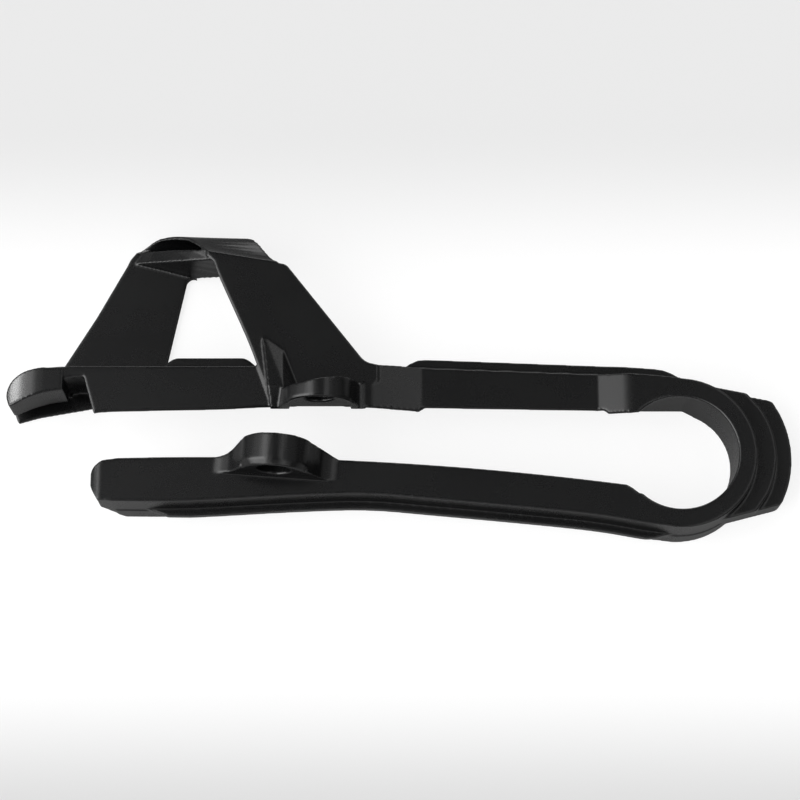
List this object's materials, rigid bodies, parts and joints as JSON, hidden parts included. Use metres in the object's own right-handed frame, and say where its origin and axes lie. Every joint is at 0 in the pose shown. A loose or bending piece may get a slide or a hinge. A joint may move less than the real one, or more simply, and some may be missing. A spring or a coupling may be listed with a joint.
{
  "type": "motorcycle chain guide",
  "caption": "Swing-arm chain slider with an open loop for the pivot boss, a long upper and lower run, a tall arch the chain passes under and screw lugs.",
  "frame": {"origin": "axis of the pivot loop's bore, on the far face that the slider lies on", "axes": "+X forward along the runs to the front of the loop, +Y up as fitted on the bike, +Z out to the near face with the screw lugs"},
  "size_m": [0.397, 0.1613, 0.06],
  "materials": {
    "slider_plastic": "satin black moulded plastic with a fine grain"
  },
  "bodies": {
    "root": {"chain_slider": "slider_plastic"}
  },
  "joints": []
}
